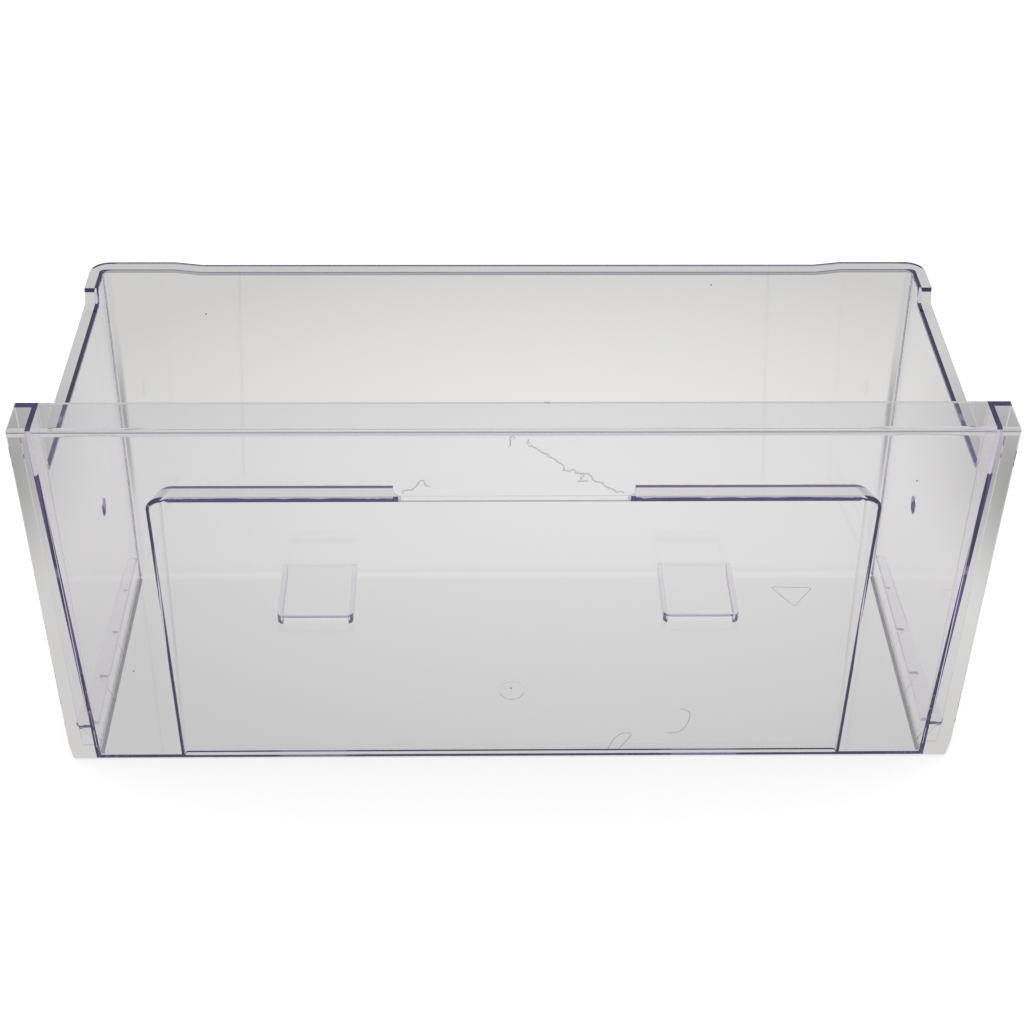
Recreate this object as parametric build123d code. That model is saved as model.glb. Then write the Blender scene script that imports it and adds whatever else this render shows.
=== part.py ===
"""Clear fridge drawer moulded in one piece: a drafted tray behind a leaning front panel.

Millimetres, +Z up, the front towards -Y, the origin at the centre of the drawer's foot.
"""
import os
from math import atan2, degrees, radians, tan

from build123d import *

BEHIND = (Align.CENTER, Align.MIN, Align.MIN)

# Front panel: it leans forward at the top, where a flange turns back over the tray
width = 460.0
height = 220.0
wall = 2.5
panel_lean = 22.0
flange_depth = 24.0
nose_radius = 0.9
flange_fillet = 1.6
foot_radius = 2.2
foot_taper = 1.2
foot_taper_height = 12.0

# Tray: inset of its inner side faces from the panel's ends and inner length, both at the foot
tray_inset = 15.4
tray_length = 157.0
side_draft = 1.3
back_draft = 6.65
corner_radius = 5.0
edge_radius = 3.0
heel_radius = 6.0

# Rim: it rises near the rear corners and dips a little along the back, with a lip all round
rim_z = 184.0
rim_radius = 4.0
rear_rise = 7.5
rise_place = 28.5
rise_run = 3.5
rim_dip = 1.5
rim_dip_width = 334.0
rim_dip_ramp = 14.0
lip = 6.2
side_lip = 4.9
lip_taper = 21.0
lip_corner = 10.0

# Grip recess in the panel: deepest under its ledge, drafted at the sides
recess_width = 342.0
recess_depth = 11.0
recess_foot_depth = 2.5
recess_draft = 23.0
recess_corner = 6.0
recess_bend = 0.8
ledge_z = 180.0

# Finger slot through the ledge, behind a strip of the panel's own thickness
slot_width = 114.0
slot_strip = 2.9
slot_drop = 10.5
slot_corner = 5.5

# Wing plates that stiffen the panel's ends, level with the flange's rear edge
wing_foot_z = 10.0
wing_foot_inset = 7.0

# Runners outside the tray, each a ledge on triangular fins
runner_z = 15.8
runner_wall = 2.4
runner_place = 32.0
runner_length = 143.0
runner_front_reach = 9.5
runner_rear_reach = 4.5
runner_corner = 4.0
fin_count = 4
fin_pitch = 37.3
fin_wall = 2.0
fin_inset = 2.4
fin_foot_z = 4.0

# Notches under the rear of the floor
notch_spacing = 219.4
notch_width = 43.0
notch_length = 47.0
notch_height = 8.5
notch_corner = 4.0

# Round holes through the side walls, and the gate mark on the recess
hole_place = 117.5
hole_z = 95.0
hole_radius = 5.0
gate_z = 46.0
gate_radius = 6.3
gate_depth = 0.4

# Sizes that follow from these
rear_rim_z = rim_z + rear_rise
depth = panel_lean + tray_length + rear_rim_z * tan(radians(back_draft)) + wall + lip
front = -depth / 2
rear = depth / 2
flange_back = front + flange_depth
recess_top_z = ledge_z - wall
tray_width = width - 2 * tray_inset
join = 0.8 * wall
spare = 40.0


def panel_y(z):
    """Front face of the panel at height z."""
    return front + panel_lean * (1 - z / height)


def side_x(z):
    """Inner face of the side wall at height z."""
    return tray_width / 2 + z * tan(radians(side_draft))


def back_y(z):
    """Inner face of the back wall at height z."""
    return front + panel_lean + tray_length + z * tan(radians(back_draft))


def recess_y(z):
    """Front face of the recess plate at height z."""
    return panel_y(z) + recess_foot_depth + (recess_depth - recess_foot_depth) * z / recess_top_z


def along_x(outline):
    """Prism along X from a side-view outline that spans the drawer's width."""
    return extrude(Plane.YZ * outline, width / 2 + spare, both=True)


def along_y(outline):
    """Prism along Y from a front-view outline that spans the drawer's depth."""
    return extrude(Plane.XZ * outline, depth / 2 + spare, both=True)


def outline(*points):
    """Closed outline through points in the plane of a view."""
    return Polygon(*points, align=None)


def rounded(shape, point, radius):
    """Outline with its corner nearest to a point rounded."""
    corner = shape.vertices().sort_by_distance((*point, 0))[0]
    return fillet(corner, radius)


def both_sides(shape):
    """A right-hand feature together with its mirror image."""
    return shape + mirror(shape, about=Plane.YZ)


def front_panel():
    """Bent plate of panel and flange, cut to the front view with its slightly drawn-in foot."""
    nose = (panel_y(height), height)
    bend = (panel_y(height - wall) + wall, height - wall)
    foot = panel_y(0)
    side_view = outline(
        (foot, 0), nose, (flange_back, height), (flange_back, height - wall), bend, (foot + wall, 0)
    )
    side_view = rounded(side_view, nose, nose_radius)
    side_view = rounded(side_view, bend, flange_fillet)
    side_view = rounded(side_view, (foot, 0), foot_radius)
    half = width / 2
    foot_half = half - foot_taper
    front_view = outline(
        (-foot_half, 0),
        (foot_half, 0),
        (half, foot_taper_height),
        (half, height),
        (-half, height),
        (-half, foot_taper_height),
    )
    return along_x(side_view) & along_y(front_view)


def corner_prism(hand, side, back, corner):
    """Leaning prism of one side face and the back face, grown outwards and round between them."""
    base_z = -spare
    side_face = hand * (side_x(base_z) + side)
    back_face = back_y(base_z) + back
    far_x = -hand * (width / 2 + 2 * spare)
    far_y = front - 2 * spare
    plan = outline((side_face, far_y), (side_face, back_face), (far_x, back_face), (far_x, far_y))
    plan = rounded(plan, (side_face, back_face), corner)
    lean = Vector(hand * tan(radians(side_draft)), tan(radians(back_draft)), 1)
    return extrude(Pos(0, 0, base_z) * plan, height + 4 * spare, dir=lean.normalized())


def tray_block(side, back, corner, foot_z, gap):
    """Drafted block: the tray's inside grown at sides and back, from a gap behind the panel's face."""
    top_z = height + spare
    heel = (back_y(foot_z) + back, foot_z)
    side_view = outline(
        (panel_y(foot_z) + gap, foot_z),
        heel,
        (back_y(top_z) + back, top_z),
        (panel_y(top_z) + gap, top_z),
    )
    block = along_x(rounded(side_view, heel, heel_radius + back))
    return block & corner_prism(-1, side, back, corner) & corner_prism(1, side, back, corner)


def below_rim():
    """Space under the rim line: full height at the flange, stepped up towards the rear."""
    rim_front = (flange_back, rim_z)
    rise_end = rear - rise_place
    side_view = outline(
        (front - spare, -spare),
        (rear + spare, -spare),
        (rear + spare, rear_rim_z),
        (rise_end, rear_rim_z),
        (rise_end - rise_run, rim_z),
        rim_front,
        (flange_back, height),
        (front - spare, height),
    )
    side_view = rounded(side_view, rim_front, rim_radius)
    half = rim_dip_width / 2
    dip = outline(
        (-half, rear_rim_z - rim_dip),
        (half, rear_rim_z - rim_dip),
        (half + rim_dip_ramp, rear_rim_z),
        (half + rim_dip_ramp, height),
        (-half - rim_dip_ramp, height),
        (-half - rim_dip_ramp, rear_rim_z),
    )
    behind_rise = along_x(
        outline((rise_end, 0), (rear + spare, 0), (rear + spare, height), (rise_end, height))
    )
    return along_x(side_view) - (along_y(dip) & behind_rise)


def rim_lip(cavity, under_rim):
    """Outward lip one wall thick along the rim, narrowing to nothing at the flange."""
    band = under_rim - Pos(0, 0, -wall) * under_rim
    half = side_x(rim_z) + wall
    plan = outline(
        (-half, flange_back),
        (half, flange_back),
        (half + side_lip, flange_back + lip_taper),
        (half + side_lip, rear + spare),
        (-half - side_lip, rear + spare),
        (-half - side_lip, flange_back + lip_taper),
    )
    wide = half + side_lip + spare
    plan_view = extrude(plan, height)
    rear_part = Pos(0, flange_back + lip_taper, 0) * Box(2 * wide, depth, height, align=BEHIND)
    block = tray_block(wall + side_lip, wall + lip, lip_corner, 0, 0) & (plan_view + rear_part)
    return (block - cavity) & band


def recess_block(grow, foot_z, start):
    """Wedge behind the panel's face, from a start depth to the recess plate, grown outwards."""
    top_z = recess_top_z + grow
    end = recess_depth + grow
    slope = tan(radians(recess_draft))
    half = recess_width / 2 + grow
    base_y = panel_y(-spare)
    plan = outline(
        (-half + start * slope, base_y + start),
        (half - start * slope, base_y + start),
        (half - end * slope, base_y + end),
        (-half + end * slope, base_y + end),
    )
    slant = Vector(0, -panel_lean, height).normalized()
    wedge = extrude(Pos(0, 0, -spare) * plan, height + 2 * spare, dir=slant)
    side_view = outline(
        (panel_y(foot_z) + start, foot_z),
        (recess_y(foot_z) + grow, foot_z),
        (recess_y(top_z) + grow, top_z),
        (panel_y(top_z) + start, top_z),
    )
    block = wedge & along_x(side_view)
    top_edges = block.faces().sort_by(Axis.Z)[-1].edges()
    ends = top_edges.sort_by(Axis.X)
    block = fillet([ends[0], ends[-1]], recess_corner + grow)
    plate_face = block.faces().sort_by(lambda face: face.normal_at().Y)[-1]
    return fillet(plate_face.edges().sort_by(Axis.Z)[1:], recess_bend + grow)


def finger_slot():
    """Cut through the ledge and the top of the recess plate, round at its front corners."""
    slot_front = panel_y(ledge_z) + slot_strip
    slot_back = recess_y(0) + spare
    half = slot_width / 2
    plan = outline((-half, slot_front), (half, slot_front), (half, slot_back), (-half, slot_back))
    for x in (-half, half):
        plan = rounded(plan, (x, slot_front), slot_corner)
    return extrude(Pos(0, 0, ledge_z - slot_drop) * plan, slot_drop + wall)


def wing_plate():
    """Upright plate that joins the side wall to the end of the flange."""
    middle = wall / 2
    front_view = outline(
        (side_x(wing_foot_z) + middle, wing_foot_z),
        (width / 2 - wing_foot_inset, wing_foot_z),
        (width / 2, height - middle),
        (side_x(height) + middle, height - middle),
    )
    return extrude(Plane.XZ.offset(-flange_back) * front_view, wall)


def runner():
    """Ledge that narrows towards the rear, on triangular fins against the side wall."""
    start = front + runner_place
    end = start + runner_length
    face = side_x(runner_z) + wall
    root = face - wall / 2
    rear_corner = (face + runner_rear_reach, end)
    plan = outline((root, start), (face + runner_front_reach, start), rear_corner, (root, end))
    plan = rounded(plan, rear_corner, runner_corner)
    shape = extrude(Pos(0, 0, runner_z) * plan, runner_wall)
    for number in range(fin_count):
        place = start + fin_wall / 2 + number * fin_pitch
        share = (place - start) / runner_length
        reach = runner_front_reach + (runner_rear_reach - runner_front_reach) * share
        fin = outline(
            (side_x(fin_foot_z) + wall / 2, fin_foot_z),
            (side_x(fin_foot_z) + wall, fin_foot_z),
            (face + reach - fin_inset, runner_z + runner_wall / 2),
            (root, runner_z + runner_wall / 2),
        )
        shape += extrude(Plane.XZ.offset(-place) * fin, fin_wall / 2, both=True)
    return shape


def notch_block(shrink, back):
    """Round-cornered block at the rear of the floor, from the foot to a back plane."""
    half = notch_width / 2 - shrink
    front_y = back_y(0) - notch_length + shrink
    plan = outline((-half, front_y), (half, front_y), (half, back), (-half, back))
    for x in (-half, half):
        plan = rounded(plan, (x, front_y), notch_corner - shrink)
    return extrude(Pos(notch_spacing / 2, 0, 0) * plan, notch_height - shrink)


def side_hole():
    """Round hole square to the side wall."""
    centre = Pos(side_x(hole_z), front + hole_place, hole_z)
    return centre * Rot(0, 90 + side_draft, 0) * Cylinder(hole_radius, 4 * wall)


def gate_mark():
    """Shallow round mark in the face of the recess plate."""
    lean = degrees(atan2(recess_y(0) - recess_y(recess_top_z), recess_top_z))
    disc = Cylinder(gate_radius, 2 * gate_depth)
    return Pos(0, recess_y(gate_z), gate_z) * Rot(90 + lean, 0, 0) * disc


def drawer():
    """The whole moulding."""
    cavity = tray_block(0, 0, corner_radius, wall, wall)
    outside = tray_block(wall, wall, edge_radius, 0, join)
    under_rim = below_rim()
    shape = ((outside - cavity) & under_rim) + front_panel() + rim_lip(cavity, under_rim)
    shape += both_sides(wing_plate()) + both_sides(runner())
    shape += both_sides(notch_block(0, rear) & outside) + recess_block(wall, 0, join)
    shape -= recess_block(0, wall, -wall) + finger_slot() + gate_mark()
    return shape - both_sides(notch_block(wall, rear)) - both_sides(side_hole())


os.makedirs("parts", exist_ok=True)
export_step(drawer(), "parts/drawer.step")
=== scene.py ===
import random
from math import radians

import bmesh
import bpy
from mathutils import Matrix, Vector


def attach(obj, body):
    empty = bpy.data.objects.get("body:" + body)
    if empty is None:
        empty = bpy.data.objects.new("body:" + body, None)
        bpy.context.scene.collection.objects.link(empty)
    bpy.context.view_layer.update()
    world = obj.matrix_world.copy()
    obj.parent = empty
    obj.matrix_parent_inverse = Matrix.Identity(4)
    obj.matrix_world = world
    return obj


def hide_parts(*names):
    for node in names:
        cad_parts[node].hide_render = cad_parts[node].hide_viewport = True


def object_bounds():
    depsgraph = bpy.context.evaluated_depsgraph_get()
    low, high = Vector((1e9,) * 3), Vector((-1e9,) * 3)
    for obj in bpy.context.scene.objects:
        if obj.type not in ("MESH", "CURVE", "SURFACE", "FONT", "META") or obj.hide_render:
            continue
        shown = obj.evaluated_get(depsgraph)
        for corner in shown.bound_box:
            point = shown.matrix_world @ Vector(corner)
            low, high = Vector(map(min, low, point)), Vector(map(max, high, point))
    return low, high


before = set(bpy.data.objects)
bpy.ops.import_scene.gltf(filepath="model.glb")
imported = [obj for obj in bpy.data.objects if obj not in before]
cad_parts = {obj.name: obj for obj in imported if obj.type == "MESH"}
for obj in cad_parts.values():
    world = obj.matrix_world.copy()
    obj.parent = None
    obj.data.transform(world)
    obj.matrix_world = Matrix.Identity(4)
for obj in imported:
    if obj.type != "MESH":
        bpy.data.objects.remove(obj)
cad_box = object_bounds()

bl_info = {
    "name": "Clear fridge drawer",
    "version": (1, 0, 0),
    "blender": (4, 5, 0),
    "location": "View3D > Sidebar > Drawer",
    "description": "Dresses a clear moulded fridge drawer and sets it on a studio floor",
    "category": "Object",
}

# Places on the drawer are in millimetres, and lengths that carry MM are in metres
MM = 0.001

# Faces wider than this are flat walls, and narrower ones bend between them
WALL_FACE_WIDTH = 6 * MM
BEND_ANGLE = radians(35)

# Corners this near are one corner, and faces this level are one face
MERGE_DISTANCE = 0.001 * MM
LEVEL_ANGLE = radians(0.05)

# Polystyrene: how it bends light, the part of the noise that turns to haze, and how matt a mark is
POLYSTYRENE_IOR = 1.59
HAZE_BAND = (0.5, 0.8)
MARK_ROUGHNESS = 0.5

# The panel's front face leans forward towards the top, and the recess plate lies behind it
PANEL_TOP = cad_box[1][2] / MM
PANEL_TOP_Y = -105.0
PANEL_LEAN = 22.0
RECESS_DEPTH = 11.0
RECESS_FOOT_DEPTH = 2.5
RECESS_TOP = 177.5
FLOOR_Z = 2.5

# Fine cracks on the panel, as places across it and up it, from the finger slot's corners
CRACKS = (
    ((50.7, 182.6), (46.2, 184.1), (41.6, 187.4), (37.5, 190.0), (33.4, 195.0), (29.4, 194.7),
     (26.5, 196.7), (23.0, 195.5), (21.6, 199.3), (15.1, 205.0), (9.3, 209.6), (6.0, 211.6),
     (5.5, 214.6)),
    ((31.9, 193.5), (29.8, 190.2), (33.6, 189.7)),
    ((-0.1, 215.4), (-2.1, 216.4), (-2.7, 214.0), (-2.4, 210.7)),
    ((-52.2, 182.5), (-51.4, 185.0), (-48.1, 184.4), (-45.2, 188.9), (-42.7, 190.3),
     (-39.9, 187.0)),
)

# Each crack is a pair of strands that kink by chance every step, by at most the swing
CRACK_STRANDS = (1, 2)
CRACK_STEP = 1.6 * MM
CRACK_SWING = 0.85 * MM
CRACK_RADIUS = 0.1 * MM

# Curled scratches low on the recess plate, as places across it and up it
SCRATCHES = (
    ((50.7, 3.2), (52.6, 9.5), (57.0, 15.5), (63.5, 15.0), (60.3, 9.5), (56.3, 3.4)),
    ((86.8, 32.5), (92.0, 32.0), (92.8, 25.5), (88.4, 14.6), (81.9, 15.2)),
)
SCRATCH_RADIUS = 0.13 * MM

# Plain triangle on the floor, rounded by the points at these shares of each side
TRIANGLE = ((153.5, 60.0), (177.4, 59.0), (164.9, 41.6))
TRIANGLE_SHARES = (0.0, 0.2, 0.8)
RIDGE_RADIUS = 0.14 * MM

# Painted shade in the inner corner at the foot of each side wall: a grey line for the contact shadow
# along the wall's foot, a hair clear of both faces
CORNER_X = 214.6
CORNER_FRONT = -80.0
CORNER_REAR = 69.0
CORNER_SIZE = 1.5
CORNER_GAP = 0.05

# Flat specks in the plastic on the panel's face and on the back wall, and one on the gate mark
PANEL_SPECKS = ((-190.2, 65.8), (186.5, 189.6))
BACK_SPECKS = ((110.2, 95.3, 182.6), (-165.6, 93.3, 165.9))
GATE_NIB = (-0.5, 47.8)
SPECK_RADIUS = 0.45 * MM
SPECK_SHAPE = (1.2, 0.3, 0.9)

# The paper lies just below the drawer, and the painted shade that the clear walls show on it gathers
# towards the edge
PAPER_DROP = 0.2 * MM
SHADE_POWER = 1.5

# Upward slopes between which the painted reflection goes from the paper to the room, and from the room
# to the lamp overhead
ROOM_BAND = (0.1, 0.3)
LAMP_BAND = (0.8, 0.9)

SENSOR_WIDTH = 36.0
LIGHT_BOUNCES = 200

# Sockets of a mix node's colours, which go by number because its other kinds share their names
MIX_SHARE = 0
MIX_FIRST = 6
MIX_SECOND = 7
MIX_COLOUR = 2


def linear(hex_colour):
    """Linear colour with alpha from an sRGB hex value."""
    channels = [int(hex_colour[i:i + 2], 16) / 255 for i in (1, 3, 5)]
    return [c / 12.92 if c <= 0.04045 else ((c + 0.055) / 1.055) ** 2.4 for c in channels] + [1.0]


def add_node(tree, kind, settings=None, links=None):
    """Add a node, set its sockets and attributes by name, and link sockets from other nodes."""
    node = tree.nodes.new(kind)
    for name, value in (settings or {}).items():
        if isinstance(name, int) or name in node.inputs:
            node.inputs[name].default_value = value
        else:
            setattr(node, name, value)
    for name, source in (links or {}).items():
        tree.links.new(source, node.inputs[name])
    return node


def new_material(name):
    """Material without nodes, and its empty tree."""
    material = bpy.data.materials.new(name)
    material.use_nodes = True
    material.node_tree.nodes.clear()
    return material, material.node_tree


class DrawerPlastic(bpy.types.PropertyGroup):
    """Finish of the clear moulding."""

    ior: bpy.props.FloatProperty(
        name="Refractive index", description="Clear polystyrene bends light strongly",
        default=POLYSTYRENE_IOR,
    )
    haze: bpy.props.FloatProperty(
        name="Haze", description="Roughness where handling has dulled the polish", default=0.03,
        subtype="FACTOR",
    )
    haze_patch: bpy.props.FloatProperty(
        name="Haze patch", description="Size of the dulled patches", default=40 * MM, unit="LENGTH"
    )
    tint: bpy.props.FloatVectorProperty(
        name="Edge tint", description="Colour left after a long way inside a wall",
        default=(0.14, 0.0, 0.45), size=3, subtype="COLOR",
    )
    density: bpy.props.FloatProperty(
        name="Tint density", description="Light lost per metre inside the plastic", default=15.5
    )
    # Painted glow: the plastic emits this light itself, per metre, in place of stray light that
    # gathers along a wall
    glow: bpy.props.FloatVectorProperty(
        name="Edge glow", description="Stray light that gathers along a wall, per metre",
        default=(0.4, 0.39, 0.6), size=3, subtype="COLOR",
    )
    ripple: bpy.props.FloatProperty(
        name="Ripple", description="Width of the slow waves that cooling leaves in the faces",
        default=30 * MM, unit="LENGTH",
    )
    ripple_height: bpy.props.FloatProperty(
        name="Ripple height", description="Depth of these waves", default=0.02 * MM, unit="LENGTH"
    )


class DrawerStage(bpy.types.PropertyGroup):
    """Studio floor, light and camera."""

    floor_size: bpy.props.FloatProperty(
        name="Floor size", description="Side of the square floor", default=8.0, unit="LENGTH"
    )
    floor_colour: bpy.props.FloatVectorProperty(
        name="Floor colour", description="White paper", default=linear("#f0eeee")[:3], size=3,
        subtype="COLOR",
    )
    # The backdrop settings below are painted shade: the clear walls show an emission in place of the
    # lit paper, darkened where the drawer's shadow would fall
    backdrop_colour: bpy.props.FloatVectorProperty(
        name="Backdrop colour", description="Lit middle of the paper, as the clear walls show it",
        default=(0.88, 0.878, 0.845), size=3, subtype="COLOR",
    )
    shade_colour: bpy.props.FloatVectorProperty(
        name="Backdrop shade", description="The paper where the drawer's soft shade reaches",
        default=(0.645, 0.643, 0.622), size=3, subtype="COLOR",
    )
    shade_middle: bpy.props.FloatVectorProperty(
        name="Shade middle", description="Brightest place of the paper",
        default=(0.05, 0.19, 0.0), size=3, subtype="TRANSLATION", unit="LENGTH",
    )
    shade_reach: bpy.props.FloatVectorProperty(
        name="Shade reach", description="Distances over which the paper darkens",
        default=(0.38, 0.29, 1.0), size=3, subtype="XYZ_LENGTH", unit="LENGTH",
    )
    side_middle: bpy.props.FloatVectorProperty(
        name="Side shade middle", description="Darkest place of the paper beside the drawer's front",
        default=(0.325, 0.16, 0.0), size=3, subtype="TRANSLATION", unit="LENGTH",
    )
    side_reach: bpy.props.FloatVectorProperty(
        name="Side shade reach", description="Distances over which the side shade fades",
        default=(0.075, 0.2, 1.0), size=3, subtype="XYZ_LENGTH", unit="LENGTH",
    )
    side_shade: bpy.props.FloatProperty(
        name="Side shade", description="Brightness left in the side shade", default=0.45,
        subtype="FACTOR",
    )
    # Painted reflection: only the clear walls see this dim room and the lamp overhead, while diffuse
    # light sees plain white
    room_colour: bpy.props.FloatVectorProperty(
        name="Room colour", description="Dim studio above the paper, as the glossy faces show it",
        default=linear("#bababa")[:3], size=3, subtype="COLOR",
    )
    sky_level: bpy.props.FloatProperty(
        name="Sky level", description="Strength of the soft light from all round", default=0.85
    )
    white_lift: bpy.props.FloatProperty(
        name="White lift", description="Brings the bare floor to white in the picture", default=0.5
    )
    focal_length: bpy.props.FloatProperty(
        name="Focal length", description="Lens for a 36 mm wide frame", default=70.31,
        unit="CAMERA",
    )
    place: bpy.props.FloatVectorProperty(
        name="Camera place", description="Where the camera stands",
        default=(-0.01727, -0.86036, 0.71833), size=3, subtype="TRANSLATION", unit="LENGTH",
    )
    pitch: bpy.props.FloatProperty(
        name="Camera pitch", description="Downward tilt", default=radians(35.74), unit="ROTATION"
    )
    yaw: bpy.props.FloatProperty(
        name="Camera yaw", description="Turn to the right", default=radians(1.208), unit="ROTATION"
    )
    roll: bpy.props.FloatProperty(
        name="Camera roll", description="Turn about the line of sight", default=radians(0.557),
        unit="ROTATION",
    )


def clear_polystyrene(finish):
    """Clear polystyrene from a polished mould: glassy faces, violet where light runs along a wall,
    from absorption and a painted glow that the plastic emits.
    """
    material, tree = new_material("clear_polystyrene_moulded")
    place = add_node(tree, "ShaderNodeTexCoord")
    waves = add_node(tree, "ShaderNodeTexNoise", {"Scale": 1 / finish.ripple, "Detail": 1.0}, {
        "Vector": place.outputs["Object"],
    })
    ripple = add_node(tree, "ShaderNodeBump", {"Distance": finish.ripple_height}, {
        "Height": waves.outputs[0],
    })
    patches = add_node(tree, "ShaderNodeTexNoise", {"Scale": 1 / finish.haze_patch}, {
        "Vector": place.outputs["Object"],
    })
    polish = add_node(tree, "ShaderNodeMapRange", {
        "From Min": HAZE_BAND[0], "From Max": HAZE_BAND[1], "To Max": finish.haze,
    }, {"Value": patches.outputs[0]})
    shader = add_node(tree, "ShaderNodeBsdfPrincipled", {
        "Base Color": (1.0, 1.0, 1.0, 1.0),
        "IOR": finish.ior,
        "Transmission Weight": 1.0,
    }, {"Normal": ripple.outputs["Normal"], "Roughness": polish.outputs["Result"]})
    tint = add_node(tree, "ShaderNodeVolumeAbsorption", {
        "Color": (*finish.tint, 1.0),
        "Density": finish.density,
    })
    # Painted glow: emission inside the plastic, which stands in for stray light running along the
    # walls
    glow = add_node(tree, "ShaderNodeEmission", {"Color": (*finish.glow, 1.0)})
    inside = add_node(tree, "ShaderNodeAddShader", links={
        0: tint.outputs["Volume"],
        1: glow.outputs["Emission"],
    })
    add_node(tree, "ShaderNodeOutputMaterial", links={
        "Surface": shader.outputs["BSDF"],
        "Volume": inside.outputs["Shader"],
    })
    return material


def matt_mark_and_shade_plastic(name, dark, pale, grain):
    """Polystyrene without its polish along a mark, or painted shade in a corner: matt, and mottled at
    the size of its grain.
    """
    material, tree = new_material(name)
    place = add_node(tree, "ShaderNodeTexCoord")
    mottle = add_node(tree, "ShaderNodeTexNoise", {"Scale": 1 / grain, "Detail": 2.0}, {
        "Vector": place.outputs["Object"],
    })
    colour = add_node(tree, "ShaderNodeMix", {
        "data_type": "RGBA", MIX_FIRST: linear(dark), MIX_SECOND: linear(pale),
    }, {MIX_SHARE: mottle.outputs[0]})
    shader = add_node(tree, "ShaderNodeBsdfPrincipled", {
        "Roughness": MARK_ROUGHNESS,
        "IOR": POLYSTYRENE_IOR,
    }, {"Base Color": colour.outputs[MIX_COLOUR]})
    add_node(tree, "ShaderNodeOutputMaterial", links={"Surface": shader.outputs["BSDF"]})
    return material


def on_panel(x, z):
    """Place on the panel's front face, in metres."""
    return Vector((x, PANEL_TOP_Y + PANEL_LEAN * (1 - z / PANEL_TOP), z)) * MM


def on_recess(x, z):
    """Place on the recess plate's front face, in metres."""
    depth = RECESS_FOOT_DEPTH + (RECESS_DEPTH - RECESS_FOOT_DEPTH) * z / RECESS_TOP
    return on_panel(x, z) + Vector((0, depth * MM, 0))


def on_floor(x, y):
    """Place on the tray's floor, in metres."""
    return Vector((x, y, FLOOR_Z)) * MM


def mesh_of(form, name):
    """Mesh of a finished form, which is then let go."""
    mesh = bpy.data.meshes.new(name)
    form.to_mesh(mesh)
    form.free()
    return mesh


def add_piece(scene, name, mesh, material):
    """Object of a mesh with one material that goes with the drawer."""
    piece = bpy.data.objects.new(name, mesh)
    mesh.materials.append(material)
    scene.collection.objects.link(piece)
    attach(piece, "root")
    return piece


def fine_lines(name, routes, radius, kind, closed=False):
    """Mesh of thin round lines along routes, half sunk in the face that they lie on."""
    curve = bpy.data.curves.new(name, "CURVE")
    curve.dimensions = "3D"
    curve.bevel_depth = radius
    curve.bevel_resolution = 1
    curve.use_fill_caps = True
    for route in routes:
        spline = curve.splines.new(kind)
        spline.points.add(len(route) - 1)
        spline.use_cyclic_u = closed
        spline.order_u = 3
        spline.use_endpoint_u = not closed
        for point, place in zip(spline.points, route):
            point.co = (*place, 1.0)
    maker = bpy.data.objects.new(name, curve)
    mesh = bpy.data.meshes.new_from_object(maker)
    bpy.data.objects.remove(maker)
    bpy.data.curves.remove(curve)
    return mesh


def jagged(route, seed):
    """Route with small kinks by chance, as a crack runs through hard plastic."""
    chance = random.Random(seed)
    kinked = [route[0]]
    for start, end in zip(route, route[1:]):
        steps = max(1, round((end - start).length / CRACK_STEP))
        for step in range(1, steps + 1):
            swing = Vector((chance.uniform(-1, 1), 0, chance.uniform(-1, 1))) * CRACK_SWING
            kinked.append(start.lerp(end, step / steps) + swing)
    return kinked


def add_distance(tree, place, middle, reach):
    """Distance of a place from a middle, measured in shares of a reach along each axis."""
    away = add_node(tree, "ShaderNodeVectorMath", {"operation": "SUBTRACT", 1: middle}, {0: place})
    share = add_node(tree, "ShaderNodeVectorMath", {"operation": "DIVIDE", 1: reach}, {
        0: away.outputs["Vector"],
    })
    length = add_node(tree, "ShaderNodeVectorMath", {"operation": "LENGTH"}, {
        0: share.outputs["Vector"],
    })
    return length.outputs["Value"]


def add_seen_in_walls(tree, path):
    """1 for what the clear walls mirror or show through them, and 0 for what is seen bare."""
    seen = add_node(tree, "ShaderNodeMath", {"operation": "MAXIMUM"}, {
        0: path.outputs["Is Glossy Ray"],
        1: path.outputs["Is Transmission Ray"],
    })
    return seen.outputs["Value"]


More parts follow.
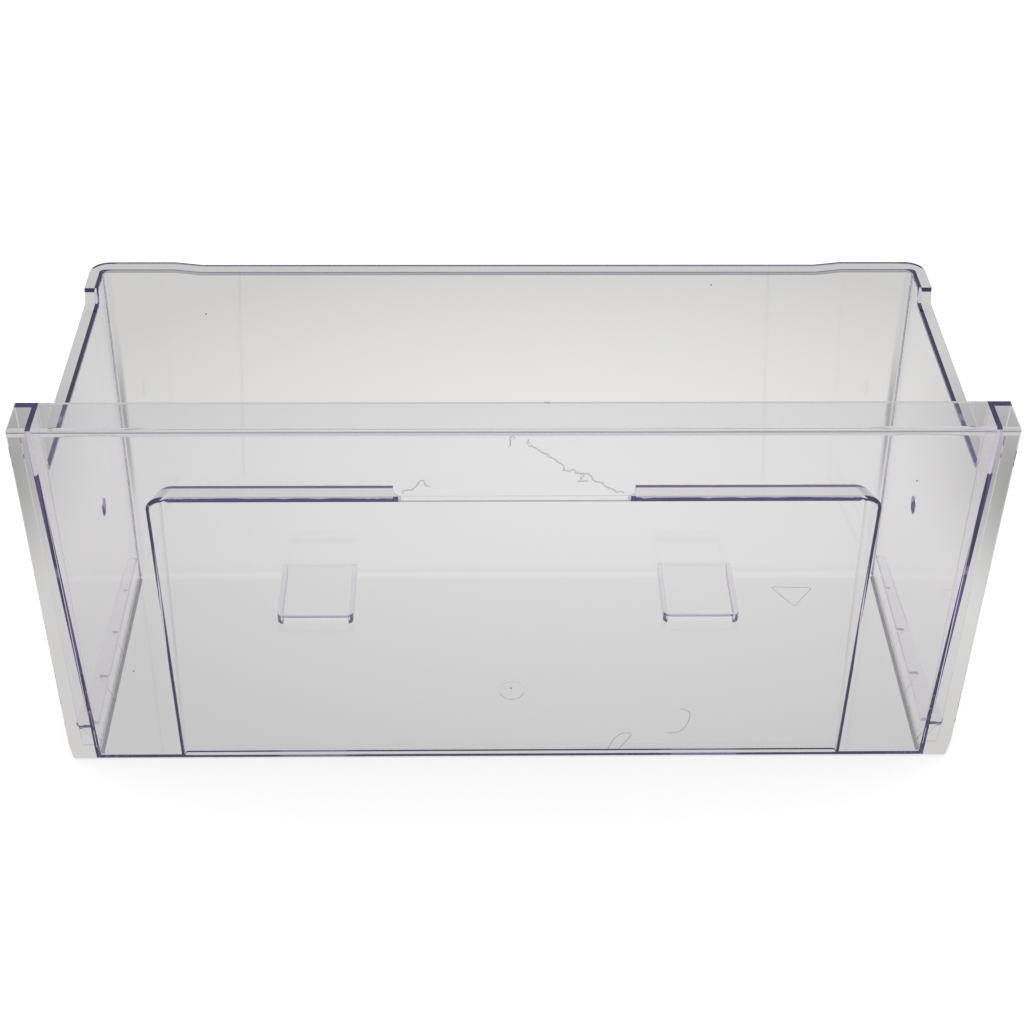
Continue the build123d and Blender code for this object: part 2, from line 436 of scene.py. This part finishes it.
def white_paper(stage):
    """Matt white paper: white where the camera sees it bare; through the clear walls a pale grey
    emission with painted shade, darker where the drawer's shadow would fall and beside its front.
    """
    material, tree = new_material("white_paper_floor")
    paper = add_node(tree, "ShaderNodeBsdfDiffuse", {"Color": (*stage.floor_colour, 1.0)})
    path = add_node(tree, "ShaderNodeLightPath")
    lift = add_node(tree, "ShaderNodeMath", {"operation": "MULTIPLY", 1: stage.white_lift}, {
        0: path.outputs["Is Camera Ray"],
    })
    glow = add_node(tree, "ShaderNodeEmission", links={"Strength": lift.outputs["Value"]})
    bare = add_node(tree, "ShaderNodeAddShader", links={
        0: paper.outputs["BSDF"],
        1: glow.outputs["Emission"],
    })
    place = add_node(tree, "ShaderNodeTexCoord")
    reach = add_distance(tree, place.outputs["Object"], stage.shade_middle, stage.shade_reach)
    shade = add_node(tree, "ShaderNodeMath", {
        "operation": "POWER", 1: SHADE_POWER, "use_clamp": True,
    }, {0: reach})
    split = add_node(tree, "ShaderNodeSeparateXYZ", links={0: place.outputs["Object"]})
    aside = add_node(tree, "ShaderNodeMath", {"operation": "ABSOLUTE"}, {0: split.outputs["X"]})
    folded = add_node(tree, "ShaderNodeCombineXYZ", links={
        "X": aside.outputs["Value"],
        "Y": split.outputs["Y"],
    })
    side = add_distance(tree, folded.outputs["Vector"], stage.side_middle, stage.side_reach)
    painted_side_shade = add_node(tree, "ShaderNodeMapRange", {
        "interpolation_type": "SMOOTHSTEP", "To Min": stage.side_shade, "To Max": 1.0,
    }, {"Value": side})
    # Painted shade: the backdrop's tone darkens towards the drawer's shadow, and its strength drops in
    # the side shade
    painted_shade_tone = add_node(tree, "ShaderNodeMix", {
        "data_type": "RGBA",
        MIX_FIRST: (*stage.backdrop_colour, 1.0),
        MIX_SECOND: (*stage.shade_colour, 1.0),
    }, {MIX_SHARE: shade.outputs["Value"]})
    backdrop = add_node(tree, "ShaderNodeEmission", links={
        "Color": painted_shade_tone.outputs[MIX_COLOUR],
        "Strength": painted_side_shade.outputs["Result"],
    })
    shown = add_node(tree, "ShaderNodeMixShader", links={
        "Fac": add_seen_in_walls(tree, path),
        1: bare.outputs["Shader"],
        2: backdrop.outputs["Emission"],
    })
    add_node(tree, "ShaderNodeOutputMaterial", links={"Surface": shown.outputs["Shader"]})
    return material


def wall_normals(form):
    """Normals for every face corner: flat walls stay flat, and narrow facets bend between them."""
    walls = {
        face for face in form.faces
        if 2 * face.calc_area() / face.calc_perimeter() > WALL_FACE_WIDTH
    }
    normals = []
    for face in form.faces:
        for vertex in face.verts:
            near = [f for f in vertex.link_faces if f.normal.angle(face.normal) < BEND_ANGLE]
            beside = [f for f in near if f in walls]
            if face in walls:
                normals.append(face.normal.copy())
            elif beside:
                normals.append(min(beside, key=lambda f: f.normal.angle(face.normal)).normal.copy())
            else:
                blend = sum((f.normal * f.calc_area() for f in near), Vector())
                normals.append(blend.normalized())
    return normals


class OBJECT_OT_drawer_moulding(bpy.types.Operator):
    """Make the drawer's moulding from the merged solid, with smooth bends and flat walls"""

    bl_idname = "object.drawer_moulding"
    bl_label = "Drawer moulding"

    def execute(self, context):
        source = bpy.data.objects["drawer"]
        form = bmesh.new()
        form.from_mesh(source.data)
        bmesh.ops.remove_doubles(form, verts=form.verts, dist=MERGE_DISTANCE)
        bmesh.ops.dissolve_limit(
            form, angle_limit=LEVEL_ANGLE, verts=form.verts, edges=form.edges
        )
        bmesh.ops.recalc_face_normals(form, faces=form.faces)
        form.normal_update()
        normals = wall_normals(form)
        mesh = mesh_of(form, "drawer_moulding")
        mesh.shade_smooth()
        mesh.normals_split_custom_set(normals)
        plastic = clear_polystyrene(context.scene.drawer_plastic)
        moulding = add_piece(context.scene, "drawer_moulding", mesh, plastic)
        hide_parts("drawer")
        return {"FINISHED"}


class OBJECT_OT_drawer_cracks(bpy.types.Operator):
    """Lay the fine cracks that run up the panel from the finger slot's corners"""

    bl_idname = "object.drawer_cracks"
    bl_label = "Drawer cracks"

    def execute(self, context):
        routes = [[on_panel(*place) for place in crack] for crack in CRACKS]
        strands = [jagged(route, seed) for route in routes for seed in CRACK_STRANDS]
        mesh = fine_lines("panel_cracks", strands, CRACK_RADIUS, "POLY")
        # Cracked polystyrene: the broken faces scatter light, so a crack looks grey
        grey = matt_mark_and_shade_plastic(
            "cracked_polystyrene", dark="#6c686d", pale="#b4b0b2", grain=1.5 * MM
        )
        add_piece(context.scene, "panel_cracks", mesh, grey)
        return {"FINISHED"}


class OBJECT_OT_drawer_scratches(bpy.types.Operator):
    """Lay the curled scratches low on the recess plate"""

    bl_idname = "object.drawer_scratches"
    bl_label = "Drawer scratches"

    def execute(self, context):
        routes = [[on_recess(*place) for place in scratch] for scratch in SCRATCHES]
        mesh = fine_lines("recess_scratches", routes, SCRATCH_RADIUS, "NURBS")
        # Scratched polystyrene: the polish is torn along a fine groove
        grey = matt_mark_and_shade_plastic(
            "scratched_polystyrene", dark="#7d797c", pale="#b9b5b6", grain=2 * MM
        )
        add_piece(context.scene, "recess_scratches", mesh, grey)
        return {"FINISHED"}


class OBJECT_OT_drawer_floor_mark(bpy.types.Operator):
    """Raise a plain rounded triangle on the floor near its rear right corner"""

    bl_idname = "object.drawer_floor_mark"
    bl_label = "Drawer floor mark"

    def execute(self, context):
        route = []
        for number, corner in enumerate(TRIANGLE):
            following = Vector(TRIANGLE[(number + 1) % len(TRIANGLE)])
            route += [Vector(corner).lerp(following, share) for share in TRIANGLE_SHARES]
        routes = [[on_floor(*place) for place in route]]
        mesh = fine_lines("floor_mark", routes, RIDGE_RADIUS, "NURBS", closed=True)
        # Moulded ridge of polystyrene, which shows as a pale line
        ridge = matt_mark_and_shade_plastic(
            "raised_polystyrene_ridge", dark="#b3afb2", pale="#dedbdc", grain=3 * MM
        )
        add_piece(context.scene, "floor_mark", mesh, ridge)
        return {"FINISHED"}


class OBJECT_OT_drawer_painted_corner_shade(bpy.types.Operator):
    """Lay a line of painted shade in the corner between the floor and each side wall, for the contact
    shadow at its foot
    """

    bl_idname = "object.drawer_corner_lines"
    bl_label = "Drawer painted corner shade"

    def execute(self, context):
        form = bmesh.new()
        for hand in (-1, 1):
            corner = Vector((hand * (CORNER_X - CORNER_GAP), CORNER_FRONT, FLOOR_Z + CORNER_GAP))
            along_floor = corner - Vector((hand * CORNER_SIZE, 0, 0))
            up_wall = corner + Vector((0, 0, CORNER_SIZE))
            ends = [form.verts.new(place * MM) for place in (corner, along_floor, up_wall)]
            section = form.faces.new(ends)
            grown = bmesh.ops.extrude_face_region(form, geom=[section])["geom"]
            far = [part for part in grown if isinstance(part, bmesh.types.BMVert)]
            bmesh.ops.translate(form, vec=(0, (CORNER_REAR - CORNER_FRONT) * MM, 0), verts=far)
        bmesh.ops.recalc_face_normals(form, faces=form.faces)
        mesh = mesh_of(form, "painted_corner_shade")
        # Painted shade: matt polystyrene mottled from grey to white, standing for the contact shadow
        # along the wall's foot
        corner_shade = matt_mark_and_shade_plastic(
            "painted_corner_shade_polystyrene", dark="#a09ea3", pale="#ffffff", grain=1.2 * MM
        )
        add_piece(context.scene, "painted_corner_shade", mesh, corner_shade)
        return {"FINISHED"}


class OBJECT_OT_drawer_specks(bpy.types.Operator):
    """Set the specks in the plastic and the nib at the middle of the gate mark"""

    bl_idname = "object.drawer_specks"
    bl_label = "Drawer specks"

    def execute(self, context):
        places = [on_panel(*place) for place in PANEL_SPECKS]
        places += [Vector(place) * MM for place in BACK_SPECKS]
        places.append(on_recess(*GATE_NIB))
        form = bmesh.new()
        for place in places:
            speck = bmesh.ops.create_icosphere(form, subdivisions=2, radius=SPECK_RADIUS)["verts"]
            bmesh.ops.scale(form, vec=SPECK_SHAPE, verts=speck)
            bmesh.ops.translate(form, vec=place, verts=speck)
        mesh = mesh_of(form, "specks")
        mesh.shade_smooth()
        # Scorched polystyrene: grains that browned before they reached the mould
        dark = matt_mark_and_shade_plastic(
            "scorched_polystyrene_speck", dark="#565257", pale="#8f8a8d", grain=0.6 * MM
        )
        add_piece(context.scene, "specks", mesh, dark)
        return {"FINISHED"}


class OBJECT_OT_drawer_stage(bpy.types.Operator):
    """Set the drawer on white paper in soft light, and place the camera"""

    bl_idname = "object.drawer_stage"
    bl_label = "Drawer stage"

    def execute(self, context):
        scene = context.scene
        stage = scene.drawer_stage
        self.add_floor(scene, stage)
        self.add_light(scene, stage)
        self.add_camera(scene, stage)
        scene.view_settings.view_transform = "Standard"
        scene.cycles.max_bounces = LIGHT_BOUNCES
        scene.cycles.transmission_bounces = LIGHT_BOUNCES
        scene.cycles.glossy_bounces = LIGHT_BOUNCES
        return {"FINISHED"}

    def add_floor(self, scene, stage):
        """Square of paper under the drawer."""
        form = bmesh.new()
        bmesh.ops.create_grid(form, x_segments=1, y_segments=1, size=stage.floor_size / 2)
        bmesh.ops.translate(form, verts=form.verts, vec=(0, 0, -PAPER_DROP))
        mesh = mesh_of(form, "floor")
        floor = bpy.data.objects.new("floor", mesh)
        mesh.materials.append(white_paper(stage))
        scene.collection.objects.link(floor)

    def add_light(self, scene, stage):
        """Soft white light from all round; the walls mirror and show a painted reflection of shaded
        paper, a dim room and a lamp, which light nothing.
        """
        world = bpy.data.worlds.new("soft_room")
        scene.world = world
        world.use_nodes = True
        tree = world.node_tree
        tree.nodes.clear()
        place = add_node(tree, "ShaderNodeTexCoord")
        split = add_node(tree, "ShaderNodeSeparateXYZ", links={0: place.outputs["Generated"]})
        above_paper, overhead = [
            add_node(tree, "ShaderNodeMapRange", {
                "interpolation_type": "SMOOTHSTEP", "From Min": low, "From Max": high,
            }, {"Value": split.outputs["Z"]})
            for low, high in (ROOM_BAND, LAMP_BAND)
        ]
        # Painted reflection: painted paper shade below the horizon, a dim room above it and a painted
        # lamp overhead, seen only in the walls
        painted_room = add_node(tree, "ShaderNodeMix", {
            "data_type": "RGBA",
            MIX_FIRST: (*stage.shade_colour, 1.0),
            MIX_SECOND: (*stage.room_colour, 1.0),
        }, {MIX_SHARE: above_paper.outputs["Result"]})
        painted_lamp = add_node(tree, "ShaderNodeMix", {"data_type": "RGBA", MIX_SECOND: linear("#ffffff")}, {
            MIX_SHARE: overhead.outputs["Result"],
            MIX_FIRST: painted_room.outputs[MIX_COLOUR],
        })
        path = add_node(tree, "ShaderNodeLightPath")
        colour = add_node(tree, "ShaderNodeMix", {"data_type": "RGBA", MIX_FIRST: linear("#ffffff")}, {
            MIX_SHARE: add_seen_in_walls(tree, path),
            MIX_SECOND: painted_lamp.outputs[MIX_COLOUR],
        })
        level = add_node(tree, "ShaderNodeMapRange", {
            "To Min": stage.sky_level, "To Max": 1.0,
        }, {"Value": path.outputs["Is Camera Ray"]})
        sky = add_node(tree, "ShaderNodeBackground", links={
            "Color": colour.outputs[MIX_COLOUR],
            "Strength": level.outputs["Result"],
        })
        add_node(tree, "ShaderNodeOutputWorld", links={"Surface": sky.outputs["Background"]})

    def add_camera(self, scene, stage):
        """Camera in front of the drawer and above it."""
        lens = bpy.data.cameras.new("camera")
        lens.sensor_width = SENSOR_WIDTH
        lens.lens = stage.focal_length
        camera = bpy.data.objects.new("camera", lens)
        turn = (
            Matrix.Rotation(-stage.yaw, 4, "Z")
            @ Matrix.Rotation(radians(90) - stage.pitch, 4, "X")
            @ Matrix.Rotation(stage.roll, 4, "Z")
        )
        camera.matrix_world = Matrix.Translation(Vector(stage.place)) @ turn
        scene.collection.objects.link(camera)
        scene.camera = camera


class VIEW3D_PT_drawer(bpy.types.Panel):
    """Steps that dress the drawer"""

    bl_label = "Clear fridge drawer"
    bl_space_type = "VIEW_3D"
    bl_region_type = "UI"
    bl_category = "Drawer"

    def draw(self, context):
        for step in STEPS:
            self.layout.operator(step.bl_idname)


STEPS = (
    OBJECT_OT_drawer_moulding,
    OBJECT_OT_drawer_cracks,
    OBJECT_OT_drawer_scratches,
    OBJECT_OT_drawer_floor_mark,
    OBJECT_OT_drawer_painted_corner_shade,
    OBJECT_OT_drawer_specks,
    OBJECT_OT_drawer_stage,
)
SETTINGS = {"drawer_plastic": DrawerPlastic, "drawer_stage": DrawerStage}


def register():
    """Register the settings, the steps and the panel."""
    for cls in (*SETTINGS.values(), *STEPS, VIEW3D_PT_drawer):
        bpy.utils.register_class(cls)
    for name, group in SETTINGS.items():
        setattr(bpy.types.Scene, name, bpy.props.PointerProperty(type=group))


def unregister():
    """Take away what register added."""
    for name in SETTINGS:
        delattr(bpy.types.Scene, name)
    for cls in (VIEW3D_PT_drawer, *reversed(STEPS), *SETTINGS.values()):
        bpy.utils.unregister_class(cls)


def main():
    """Dress the drawer and set the stage."""
    register()
    bpy.ops.object.drawer_moulding()
    bpy.ops.object.drawer_cracks()
    bpy.ops.object.drawer_scratches()
    bpy.ops.object.drawer_floor_mark()
    bpy.ops.object.drawer_corner_lines()
    bpy.ops.object.drawer_specks()
    bpy.ops.object.drawer_stage()


if __name__ == "__main__":
    main()
